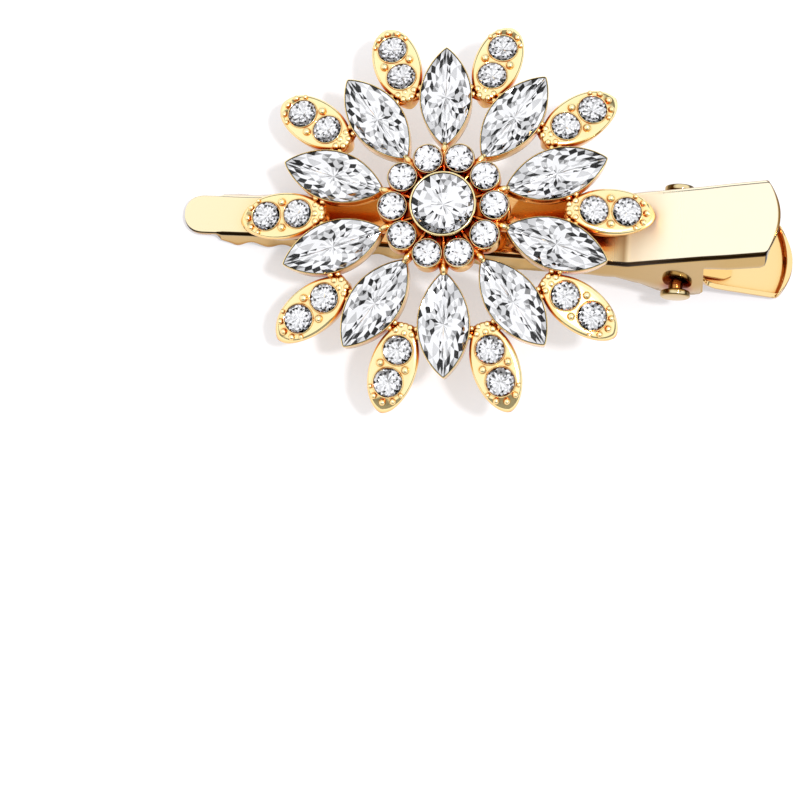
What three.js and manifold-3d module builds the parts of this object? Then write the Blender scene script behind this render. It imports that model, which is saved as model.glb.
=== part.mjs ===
// Rhinestone flower hair clip. Millimetres. Modelled in the clip's own frame
// (X from jaw tip to tail, Y across, Z up, Z = 0 on top of the upper jaw), then
// pitched so that the lower jaw tip and the lower tail end rest on Z = 0.
import * as THREE from 'three';
import { mergeVertices } from 'three/examples/jsm/utils/BufferGeometryUtils.js';
import Module from 'manifold-3d';

const wasm = await Module();
wasm.setup();

// ---- driving dimensions (mm) -------------------------------------------
const TIP_X = -34.4;          // jaw tip
const KINK_X = 23.2;          // where the upper tail bends up
const TAIL_X = 41.0;          // upper tail corner
const TAIL_SLOPE = 0.478;     // rise of the upper tail per mm
const TAIL_BULGE = 1.45;      // rounded tail end
const JAW_W = 2.54;           // jaw half width
const BODY_W = 4.83;          // body half width
const SHEET = 0.65;           // sheet thickness
const PIN_X = 29.35, PIN_Z = -5.7;
const PIN_R = 0.95, HEAD_R = 1.95, HEAD_T = 0.85, PIN_HALF = 7.4;
const LOW_TAIL_X = 42.9;      // lower tail corner
const FLOWER_Z = 8.5;         // plane of the ring stones above the jaw plane
const FLOWER_TURN = 2.8;      // degrees, flower turned on the clip
const N = 10;                 // petals
const CENTRE_R = 3.92, RING_R = 1.72, LEAF_STONE_R = 1.8;
const RING_PITCH = 6.5;       // ring stones' circle
const NAV_LEN = 13.3, NAV_W = 6.4, NAV_P = 0.88, NAV_MID = 14.95, NAV_Z = -2.2, NAV_TILT = 5.2;
const LEAF_LEN = 11.35, LEAF_W = 5.5, LEAF_MID = 21.22, LEAF_Z = -3.774, LEAF_TILT = 13.7;
const LEAF_DROOP = 0.85;      // the leaf's outer tip bends down
const LEAF_S1 = 18.94, LEAF_S2 = 23.09;

// ---- helpers ------------------------------------------------------------
const lerpTab = (tab, x) => {
  if (x <= tab[0][0]) return tab[0][1];
  for (let i = 1; i < tab.length; i++) if (x <= tab[i][0]) {
    const [a, u] = tab[i - 1], [b, v] = tab[i];
    return u + (v - u) * (x - a) / (b - a);
  }
  return tab[tab.length - 1][1];
};
function clean(g) {
  g = g.clone(); g.deleteAttribute('normal'); g.deleteAttribute('uv');
  return mergeVertices(g, 1e-5);
}
function toMan(g) {
  g = g.index && !g.attributes.normal ? g : clean(g);
  return new wasm.Manifold(new wasm.Mesh({ numProp: 3,
    vertProperties: new Float32Array(g.attributes.position.array),
    triVerts: new Uint32Array(g.index.array) }));
}
function toGeo(m) {
  const k = m.getMesh(), g = new THREE.BufferGeometry();
  g.setAttribute('position', new THREE.BufferAttribute(new Float32Array(k.vertProperties), 3));
  g.setIndex(new THREE.BufferAttribute(new Uint32Array(k.triVerts), 1));
  const h = g.toNonIndexed(); h.computeVertexNormals(); return h;
}
// closed solid from rings of equal count (bottom to top, counter-clockwise from above)
function rings(levels) {
  const n = levels[0].length, pos = [], idx = [];
  levels.forEach(l => l.forEach(p => pos.push(...p)));
  for (let k = 0; k < levels.length - 1; k++) for (let i = 0; i < n; i++) {
    const a = k * n + i, b = k * n + (i + 1) % n, c = a + n, d = b + n;
    idx.push(a, b, d, a, d, c);
  }
  const cap = (base, flip) => {                // outlines are convex
    for (let i = 1; i < n - 1; i++) flip ? idx.push(base, base + i + 1, base + i) : idx.push(base, base + i, base + i + 1);
  };
  cap(0, true); cap((levels.length - 1) * n, false);
  const g = new THREE.BufferGeometry();
  g.setAttribute('position', new THREE.Float32BufferAttribute(pos, 3));
  g.setIndex(idx); return g;
}
const circle = (r, n, z, cx = 0, cy = 0, off = 0) => Array.from({ length: n }, (_, i) => {
  const a = (i + off) / n * 2 * Math.PI; return [cx + r * Math.cos(a), cy + r * Math.sin(a), z];
});
// pointed oval, x from -len/2 to len/2
function navette(len, w, z, n = 7, p = 1.0, grow = 0) {
  const pts = [], h = len / 2 + grow * 1.25, b = w / 2 + grow;
  const half = t => b * Math.pow(Math.max(0, 1 - Math.abs(t) ** 2.0), p);
  for (let i = 0; i < n; i++) { const t = -Math.cos(Math.PI * i / n); pts.push([h * t, -half(t), z]); }
  for (let i = 0; i < n; i++) { const t = Math.cos(Math.PI * i / n); pts.push([h * t, half(t), z]); }
  return pts;
}
function place(g, r, z, tiltDeg, angDeg) {
  g = g.clone();
  g.applyMatrix4(new THREE.Matrix4().makeRotationY(tiltDeg * Math.PI / 180));
  g.applyMatrix4(new THREE.Matrix4().makeTranslation(r, 0, z));
  g.applyMatrix4(new THREE.Matrix4().makeRotationZ((angDeg + FLOWER_TURN) * Math.PI / 180));
  g.applyMatrix4(new THREE.Matrix4().makeTranslation(0, 0, FLOWER_Z));
  return g;
}
const alongY = (profile, half) => {           // profile: [x,z] counter-clockwise seen from -Y
  const s = new THREE.Shape(profile.map(p => new THREE.Vector2(p[0], p[1])));
  const g = new THREE.ExtrudeGeometry(s, { depth: 2 * half, bevelEnabled: false });
  g.applyMatrix4(new THREE.Matrix4().makeTranslation(0, 0, -half));
  g.applyMatrix4(new THREE.Matrix4().makeRotationX(Math.PI / 2));
  return g;
};
const cylY = (r, y0, y1, n, x = PIN_X, z = PIN_Z) => {
  const g = new THREE.CylinderGeometry(r, r, y1 - y0, n);
  g.applyMatrix4(new THREE.Matrix4().makeTranslation(x, (y0 + y1) / 2, z));
  return g;
};

// ---- folded sheet: stations along X -------------------------------------
// each station: x, z (outer face), w (half width), drop (fold depth), phi, tv (plate thickness), bulge
function sheet(stations, dir, half) {
  const sec = st => {
    const a = st.phi * Math.PI / 180, c = Math.cos(a), s = Math.sin(a);
    const tf = Math.min(SHEET, st.w * 0.45), L = st.drop / s, d = Math.min(0.55, L * 0.45, st.w * 0.3);
    const ex = st.w + L * c, en = -L * s;
    const right = [[ex, en], [st.w + d * c, -d * s], [st.w + 0.27 * d * c - 0.25 * d, -0.27 * d * s], [st.w - d, 0]];
    const inner = [[ex - tf * s, en - tf * c * 0.6], [st.w + st.tv * c / s - tf / s, -st.tv]];
    const out = [];
    right.forEach(p => out.push(p));
    out.push([0, 0]);
    right.slice().reverse().forEach(p => out.push([-p[0], p[1]]));
    inner.forEach(p => out.push([-p[0], p[1]]));
    out.push([0, -st.tv]);
    inner.slice().reverse().forEach(p => out.push(p));
    return out.map(([y, n]) => {
      const k = st.bulge * (1 - Math.min(1, (y / st.w) ** 2));
      return [st.x + k, y, st.z + dir * n + k * st.slope];
    });
  };
  const rows = stations.map(sec), m = rows[0].length, pos = [], idx = [];
  rows.forEach(r => r.forEach(p => pos.push(...p)));
  const tri = (a, b, c) => dir > 0 ? idx.push(a, b, c) : idx.push(a, c, b);
  for (let k = 0; k < rows.length - 1; k++) for (let i = 0; i < m; i++) {
    const a = k * m + i, b = k * m + (i + 1) % m;
    tri(a, b, b + m); tri(a, b + m, a + m);
  }
  const capTris = [[0, 1, 13], [1, 12, 13], [1, 2, 12], [2, 3, 12], [3, 4, 12], [4, 11, 12], [4, 10, 11], [4, 5, 10], [5, 6, 10], [6, 7, 10], [7, 9, 10], [7, 8, 9]];
  const cap = (base, flip) => capTris.forEach(f => (dir > 0) === flip
    ? idx.push(base + f[0], base + f[2], base + f[1]) : idx.push(base + f[0], base + f[1], base + f[2]));
  cap(0, true); cap((rows.length - 1) * m, false);
  const g = new THREE.BufferGeometry();
  g.setAttribute('position', new THREE.Float32BufferAttribute(pos, 3));
  g.setIndex(idx);
  return g;
}
const corner = (x, x1, r) => x < x1 - r ? 0 : r * (1 - Math.sqrt(Math.max(0, 1 - ((x - x1 + r) / r) ** 2 * 0.96)));
const round = (x, x0, r, w) => {               // rounded jaw tip
  const t = Math.min(1, Math.max(0, (x - x0) / r));
  return w * Math.pow(1 - (1 - t) ** 2.3, 1 / 2.3);
};

// ---- upper lever ---------------------------------------------------------
const plateZ = x => x < KINK_X - 0.6 ? 0 : x > KINK_X + 0.6 ? (x - KINK_X) * TAIL_SLOPE
  : TAIL_SLOPE * (x - KINK_X + 0.6) ** 2 / 2.4;
const widthTop = x => lerpTab([[-25.5, JAW_W], [KINK_X, BODY_W], [TAIL_X, 4.85]], x);
const TOOTH = 4.15;
const edgeTop = x => {                          // lower edge of the folds
  let z = lerpTab([[-30.2, -0.7], [-29.9, -1.1], [-29.6, -1.4], [-28.5, -1.9], [-27.5, -2.05], [-20, -2.05], [8, -2.9], [18.4, -3.57],
    [20.2, -3.95], [21.6, -4.0], [24.2, -5.5], [24.8, -5.75], [27, -7.9], [28.2, -8.2], [30.6, -8.2], [31.6, -7.9], [32.5, -7.2], [32.85, -6.4], [33.0, 1.45],
    [36, 2.85], [40.1, 4.75], [40.7, 5.4], [41.0, 6.6]], x);
  if (x > -28.6 && x < 9) z += 0.36 * Math.cos(2 * Math.PI * (x + 25.6) / TOOTH) * Math.min(1, (x + 28.6) / 0.8);
  return z;
};
const phiTop = x => lerpTab([[-30.2, 88], [-29.6, 68], [8, 70], [18.4, 78], [24.8, 82], [27, 84], [32.85, 84], [33.0, 79], [36, 75], [41, 75]], x);
const xsTop = [];
for (const d of [0.02, 0.12, 0.35, 0.7, 1.15, 1.7, 2.3, 3.2]) xsTop.push(TIP_X + d);
xsTop.push(-30.2, -30.0, -29.8, -29.6, -29.2, -28.6);
for (let x = -28.1; x < 8.6; x += TOOTH / 6) xsTop.push(x);
xsTop.push(9.2, 12, 15, 18.4, 20.2, 21.6, KINK_X - 0.6, KINK_X - 0.2, KINK_X + 0.2, KINK_X + 0.6, 24.8, 25.8, 27, 28.2, 29.4, 30.6, 31.6, 32.5, 32.85, 33.0, 34.5, 36, 37.5, 39, 40.1, 40.4, 40.7, 40.88, 41.0);
const stTop = xsTop.map(x => {
  const z = plateZ(x), sl = x < KINK_X ? 0 : TAIL_SLOPE, tv = SHEET * Math.hypot(1, sl);
  const w = x < TIP_X + 2.6 ? round(x, TIP_X, 2.6, JAW_W) : widthTop(x) - corner(x, TAIL_X, 0.6);
  return { x, z, w, drop: Math.max(tv + 0.02, z - edgeTop(x)), phi: x < -30.2 ? 90 : phiTop(x), tv,
    bulge: TAIL_BULGE * Math.max(0, (x - 36) / 5) ** 2, slope: TAIL_SLOPE };
});
const holes = cylY(PIN_R + 0.09, -8, 8, 16);
const upper = toGeo(toMan(sheet(stTop, 1)).subtract(toMan(holes)));

// ---- lower lever ---------------------------------------------------------
const lowZ = x => lerpTab([[-34.3, -1.37], [6, -1.37], [8, -1.45], [10, -1.75], [12, -2.2], [15, -3.1], [18, -4.1], [22, -5.6],
  [26, -7.15], [28, -8.05], [29.35, -8.65], [LOW_TAIL_X, -8.65 - 0.496 * (LOW_TAIL_X - 29.35)]], x);
const lowW = x => lerpTab([[-31, 2.45], [-30.4, 1.85], [-25.5, 1.85], [8, 3.2], [18, 3.95], [22, 4.3], [26, 4.5], [32.9, 4.5], [33.5, 4.6], [34.2, 4.8], [36, 4.84], [LOW_TAIL_X, 4.86]], x);
const lowTop = x => lerpTab([[8, 0.66], [13, 0.7], [16, 1.3], [20, 2.2], [23.5, 3.1], [26, 4.2], [27.2, 5.0], [28.4, 5.5], [29.4, 5.65], [30.6, 5.5], [31.6, 4.9], [32.4, 3.6], [32.9, 2.4], [33.4, 1.3], [36, 1.25], [LOW_TAIL_X, 1.25]], x);
const xsLow = [];
for (const d of [0.02, 0.12, 0.35, 0.7, 1.15, 1.7, 2.3, 3.2]) xsLow.push(-34.3 + d);
xsLow.push(-30.9, -30.4, -27, -20, -12, -4, 3, 6, 8, 10, 12, 13, 15, 16, 18, 20, 22, 23.5, 25, 26, 27.2, 28.4, 29.4, 30.6, 31.6, 32.4, 32.9, 33.4, 34.2, 36, 38, 39.5, 41, 42.0, 42.25, 42.4, 42.65, 42.8, LOW_TAIL_X);
const stLow = xsLow.map(x => {
  const sl = (lowZ(x + 0.05) - lowZ(x - 0.05)) / 0.1;
  let tv = SHEET * Math.hypot(1, Math.max(-0.5, sl)), z = lowZ(x), drop = Math.max(tv + 0.02, lowTop(x));
  const lip = Math.max(0, Math.min(1, (x - 42.25) / 0.15));
  tv += lip * 0.85; drop = Math.max(drop, tv + 0.02);
  const up = Math.max(0, (x - 42.4) / 0.5) ** 2 * 0.5; z += up; tv -= up; drop -= up;
  const w = x < -34.3 + 2.6 ? round(x, -34.3, 2.6, 2.45) : lowW(x) - corner(x, LOW_TAIL_X, 0.95);
  return { x, z, w, drop: Math.max(drop, tv + 0.02), phi: x < 8 ? 90 : x > 33 ? 84 : 89, tv,
    bulge: TAIL_BULGE * Math.max(0, (x - 36) / (LOW_TAIL_X - 36)) ** 2, slope: -0.496 };
});
const lower = toGeo(toMan(sheet(stLow, -1)).subtract(toMan(cylY(PIN_R + 0.13, -8, 8, 16))));

// ---- hinge pin -----------------------------------------------------------
const pinProfile = [[0, -PIN_HALF], [HEAD_R - 0.2, -PIN_HALF], [HEAD_R, -PIN_HALF + 0.15], [HEAD_R, -PIN_HALF + HEAD_T - 0.15], [HEAD_R - 0.15, -PIN_HALF + HEAD_T],
  [PIN_R, -PIN_HALF + HEAD_T], [PIN_R, PIN_HALF - HEAD_T], [HEAD_R - 0.15, PIN_HALF - HEAD_T], [HEAD_R, PIN_HALF - HEAD_T + 0.15], [HEAD_R, PIN_HALF - 0.15], [HEAD_R - 0.2, PIN_HALF], [0, PIN_HALF]];
const pin = new THREE.LatheGeometry(pinProfile.map(p => new THREE.Vector2(...p)), 16);
pin.applyMatrix4(new THREE.Matrix4().makeTranslation(PIN_X, 0, PIN_Z));

// ---- flat spring bent round the pin -------------------------------------
const SP_T = 0.45, SP_R = 1.35, SP_HALF = 3.6;
const legUp = [36.2, 4.95], legLow = [36.3, -11.05];
const centre = [];
{
  const aU = Math.atan2(legUp[1] - PIN_Z, legUp[0] - PIN_X), aL = Math.atan2(legLow[1] - PIN_Z, legLow[0] - PIN_X);
  const dU = Math.hypot(legUp[0] - PIN_X, legUp[1] - PIN_Z), dL = Math.hypot(legLow[0] - PIN_X, legLow[1] - PIN_Z);
  const t0 = aU + Math.acos(SP_R / dU), t1 = aL - Math.acos(SP_R / dL) + 2 * Math.PI;
  centre.push(legUp);
  for (let i = 0; i <= 10; i++) { const t = t0 + (t1 - t0) * i / 10; centre.push([PIN_X + SP_R * Math.cos(t), PIN_Z + SP_R * Math.sin(t)]); }
  centre.push(legLow);
}
const off = centre.map((p, i) => {
  const a = centre[Math.max(0, i - 1)], b = centre[Math.min(centre.length - 1, i + 1)];
  const l = Math.hypot(b[0] - a[0], b[1] - a[1]); return [-(b[1] - a[1]) / l * SP_T / 2, (b[0] - a[0]) / l * SP_T / 2];
});
const ribbon = [...centre.map((p, i) => [p[0] + off[i][0], p[1] + off[i][1]]), ...centre.map((p, i) => [p[0] - off[i][0], p[1] - off[i][1]]).reverse()];
if (THREE.ShapeUtils.area(ribbon.map(p => new THREE.Vector2(...p))) < 0) ribbon.reverse();
const spring = alongY(ribbon, SP_HALF);

// ---- flower casting ------------------------------------------------------
const add = [], cut = [];
const cylinder = (r, z0, z1, n, off = 0) => rings([circle(r, n, z0, 0, 0, off), circle(r, n, z1, 0, 0, off)]);
add.push(place(rings([circle(7.1, 20, -3.0, 0, 0, 0.5), circle(7.3, 20, -2.1, 0, 0, 0.5)]), 0, 0, 0, 0));
add.push(place(cylinder(4.35, -2.9, 1.15, 20), 0, 0, 0, 0));
cut.push(place(cylinder(CENTRE_R + 0.06, -1.75, 3, 20), 0, 0, 0, 0));
add.push(place(cylinder(2.2, 0.34 - FLOWER_Z, -2.5, 12), 0, 0, 0, 0));
const navOuter = (z, g) => navette(NAV_LEN, NAV_W, z, 6, NAV_P, g);
const droop = x => LEAF_DROOP * Math.max(0, (x - 2.9) / 2.775) ** 2;
for (let k = 0; k < N; k++) {
  const a = 36 * k, b = a + 18;
  add.push(place(cylinder(1.93, -2.6, 0.05, 10, 0.5), RING_PITCH, 0, 0, a));
  cut.push(place(cylinder(RING_R + 0.05, -1.6, 2, 10, 0.5), RING_PITCH, 0, 0, a));
  add.push(place(rings([navOuter(-2.3, 0.1), navOuter(0.12, 0.18)]), NAV_MID, NAV_Z, NAV_TILT, b));
  cut.push(place(rings([navOuter(-1.75, -0.9), navOuter(-0.1, 0.03), navOuter(1.5, 0.03)]), NAV_MID, NAV_Z, NAV_TILT, b));
  const web = z => [[6.8, -0.85, z], [8.9, -0.85, z], [8.9, 0.85, z], [6.8, 0.85, z]];
  add.push(place(rings([web(-3.0), web(-1.5)]), 0, 0, 0, b));                                     // web from hub to cup
  const lo = (z, g, s = 0, d = 0) => navette(LEAF_LEN, LEAF_W, 0, 6, 0.62, g).map(p => [p[0], p[1], z + s * p[0] - d * droop(p[0])]);
  add.push(place(rings([lo(-2.15, 0.1, 0.11), lo(-0.5, 0.3, 0, 1), lo(0, -0.3, 0, 1)]), LEAF_MID, LEAF_Z, LEAF_TILT, a));
  const bar = (z, w) => [[-5.73, -w, z], [-3.83, -w, z], [-3.83, w, z], [-5.73, w, z]];
  add.push(place(rings([bar(-1.85, 2.7), bar(-0.55, 2.5)]), LEAF_MID, LEAF_Z, LEAF_TILT, a));   // web to both cups
  for (const r of [LEAF_S1, LEAF_S2]) {
    const lx = (r - LEAF_MID) / Math.cos(LEAF_TILT * Math.PI / 180);
    cut.push(place(rings([circle(LEAF_STONE_R + 0.05, 10, -1.2, lx, 0, 0.5), circle(LEAF_STONE_R + 0.05, 10, 2, lx, 0, 0.5)]), LEAF_MID, LEAF_Z, LEAF_TILT, a));
  }
}
let body = wasm.Manifold.union(add.map(toMan));
body = body.subtract(wasm.Manifold.union(cut.map(toMan)));
const casting = toGeo(body);

// ---- bond pad ------------------------------------------------------------
const pad = cylinder(2.9, 0.02, 0.32, 20);

// ---- stones --------------------------------------------------------------
function brilliant(R, crown, pav, n) {
  const p = [[0, -pav], [R * 0.12, -pav * 0.88], [R, -0.06], [R, 0.06], [R * 0.58, crown], [0, crown]];
  return new THREE.LatheGeometry(p.map(q => new THREE.Vector2(...q)), n).applyMatrix4(new THREE.Matrix4().makeRotationX(Math.PI / 2));
}
function marquise() {
  const o = (z, k, ky = k) => navette(NAV_LEN, NAV_W, 0, 6, NAV_P, 0).map(p => [p[0] * k, p[1] * ky, z]);
  return rings([o(-1.6, 0.12), o(0, 0.995), o(0.1, 0.995), o(0.85, 0.62, 0.55)]);
}

// ---- assembly ------------------------------------------------------------
const gold = new THREE.Color('#e9c877'), crystal = new THREE.Color('#eef2f6');
const metal = c => new THREE.MeshStandardMaterial({ color: c ?? gold, metalness: 1, roughness: 0.22 });
const stoneMat = () => new THREE.MeshStandardMaterial({ color: crystal, metalness: 0, roughness: 0.05, flatShading: true });
const raw = new THREE.Group();
const put = (name, geo, mat) => {
  let g = geo.index ? geo.toNonIndexed() : geo.clone();
  g.deleteAttribute('uv'); g.deleteAttribute('normal'); g.computeVertexNormals();
  const m = new THREE.Mesh(g, mat); m.name = name; raw.add(m); return m;
};
put('top_lever', upper, metal());
put('lower_lever', lower, metal());
put('hinge_pin', pin, metal('#f2dca0'));
put('flat_spring', spring, metal('#d9a55a'));
put('flower_casting', casting, metal('#e6bf68'));
put('bond_pad', pad, metal('#b9b6ae'));
put('centre_stone', place(brilliant(CENTRE_R, 0.95, 2.35, 20), 0, 0.95, 0, 0), stoneMat());
for (let k = 0; k < N; k++) {
  const id = String(k + 1).padStart(2, '0'), a = 36 * k;
  put('ring_stone_' + id, place(brilliant(RING_R, 0.5, 1.35, 10), RING_PITCH, 0.02, 0, a), stoneMat());
  put('navette_stone_' + id, place(marquise(), NAV_MID, NAV_Z, NAV_TILT, a + 18), stoneMat());
  [['leaf_inner_stone_', LEAF_S1], ['leaf_outer_stone_', LEAF_S2]].forEach(([nm, r]) => {
    const lx = (r - LEAF_MID) / Math.cos(LEAF_TILT * Math.PI / 180);
    const g = brilliant(LEAF_STONE_R, 0.5, 1.05, 10); g.translate(lx, 0, 0.08);
    put(nm + id, place(g, LEAF_MID, LEAF_Z, LEAF_TILT, a), stoneMat());
  });
}

// pitch onto its two rest points and centre on the bounding box
const pitch = new THREE.Matrix4(), box = new THREE.Box3();
{
  const low = [], v = new THREE.Vector3();
  const p = raw.getObjectByName('lower_lever').geometry.attributes.position;
  for (let i = 0; i < p.count; i++) low.push([p.getX(i), p.getZ(i)]);
  // lower convex support line between the jaw half and the tail half
  let best = null;
  for (let deg = 5; deg < 17; deg += 0.002) {
    const a = deg * Math.PI / 180, s = Math.sin(a), c = Math.cos(a);
    let j = 1e9, t = 1e9;
    for (const [x, z] of low) { const h = x * s + z * c; if (x < 0) j = Math.min(j, h); else t = Math.min(t, h); }
    if (!best || Math.abs(j - t) < best.e) best = { e: Math.abs(j - t), a };
  }
  pitch.makeRotationY(-best.a);
}
raw.children.forEach(m => m.geometry.applyMatrix4(pitch));
raw.children.forEach(m => { m.geometry.computeBoundingBox(); box.union(m.geometry.boundingBox); });
const shift = new THREE.Matrix4().makeTranslation(-(box.min.x + box.max.x) / 2, -(box.min.y + box.max.y) / 2, -box.min.z);
raw.children.forEach(m => { m.geometry.applyMatrix4(shift); m.geometry.computeVertexNormals(); });

export const toPart = shift.clone().multiply(pitch);
const part = new THREE.Group();
part.name = 'rhinestone_hair_clip';
[...raw.children].forEach(m => part.add(m));
export default part;
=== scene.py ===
import bpy, bmesh, mathutils, math
import numpy as np
from mathutils import Matrix, Vector


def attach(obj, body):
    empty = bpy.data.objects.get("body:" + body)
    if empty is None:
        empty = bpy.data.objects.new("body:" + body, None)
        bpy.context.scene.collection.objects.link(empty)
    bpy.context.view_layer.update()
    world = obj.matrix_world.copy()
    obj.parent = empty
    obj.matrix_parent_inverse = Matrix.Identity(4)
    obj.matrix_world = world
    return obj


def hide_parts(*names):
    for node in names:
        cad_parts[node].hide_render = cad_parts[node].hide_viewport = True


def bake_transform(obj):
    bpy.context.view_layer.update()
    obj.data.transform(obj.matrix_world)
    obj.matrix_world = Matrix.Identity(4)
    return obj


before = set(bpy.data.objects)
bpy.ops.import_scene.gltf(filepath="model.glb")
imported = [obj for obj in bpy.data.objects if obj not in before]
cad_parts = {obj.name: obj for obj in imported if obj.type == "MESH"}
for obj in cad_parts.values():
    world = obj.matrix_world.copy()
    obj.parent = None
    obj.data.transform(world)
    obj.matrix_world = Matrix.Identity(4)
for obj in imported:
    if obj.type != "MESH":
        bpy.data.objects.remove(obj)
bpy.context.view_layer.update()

# ---------------------------------------------------------------- frame ----
# The clip's own frame (mm): X jaw to tail, Y across, Z = 0 on top of the upper
# jaw. The row frame is that, pitched onto its two rest points.
PITCH = math.radians(10.45)
cp, sp = math.cos(PITCH), math.sin(PITCH)
SHIFT = (-6.316150665283203, 0.0, 7.56489372253418)
M3 = np.array([[cp, 0, -sp], [0, 1, 0], [sp, 0, cp]])


def row(p):
    p = np.asarray(p, float)
    return (p @ M3.T + np.array(SHIFT)) * 0.001


N = 10
FLOWER_Z, TURN = 8.5, 2.8
CENTRE_R, RING_R, LEAF_R = 3.92, 1.72, 1.8
RING_PITCH = 6.5
NAV_LEN, NAV_W, NAV_P, NAV_MID, NAV_Z, NAV_TILT = 13.3, 6.4, 0.88, 14.95, -2.2, 5.2
LEAF_LEN, LEAF_W, LEAF_MID, LEAF_Z, LEAF_TILT = 11.35, 5.5, 21.22, -3.774, 13.7
DROOP = 0.85
LEAF_S = (18.94, 23.09)
PIN_X, PIN_Z, PIN_R, HEAD_R, HEAD_T, PIN_HALF = 29.35, -5.7, 0.95, 1.95, 0.85, 7.4


def place(p, r, z, tilt, ang):
    """A point set from a petal's own frame into the clip's frame."""
    p = np.asarray(p, float).reshape(-1, 3)
    t, a = math.radians(tilt), math.radians(ang + TURN)
    x = p[:, 0] * math.cos(t) + p[:, 2] * math.sin(t) + r
    zz = -p[:, 0] * math.sin(t) + p[:, 2] * math.cos(t) + z
    y = p[:, 1]
    return np.stack([x * math.cos(a) - y * math.sin(a), x * math.sin(a) + y * math.cos(a), zz + FLOWER_Z], 1)


# ------------------------------------------------------------- materials ----
def ramp(nt, src, stops):
    """A colour ramp node fed by src, from (position, colour) stops."""
    r = nt.nodes.new("ShaderNodeValToRGB")
    els = r.color_ramp.elements
    els[0].position, els[0].color = stops[0][0], (*stops[0][1], 1)
    els[1].position, els[1].color = stops[-1][0], (*stops[-1][1], 1)
    for pos, c in stops[1:-1]:
        e = els.new(pos)
        e.color = (*c, 1)
    nt.links.new(src, r.inputs["Fac"])
    return r.outputs["Color"]


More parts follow.
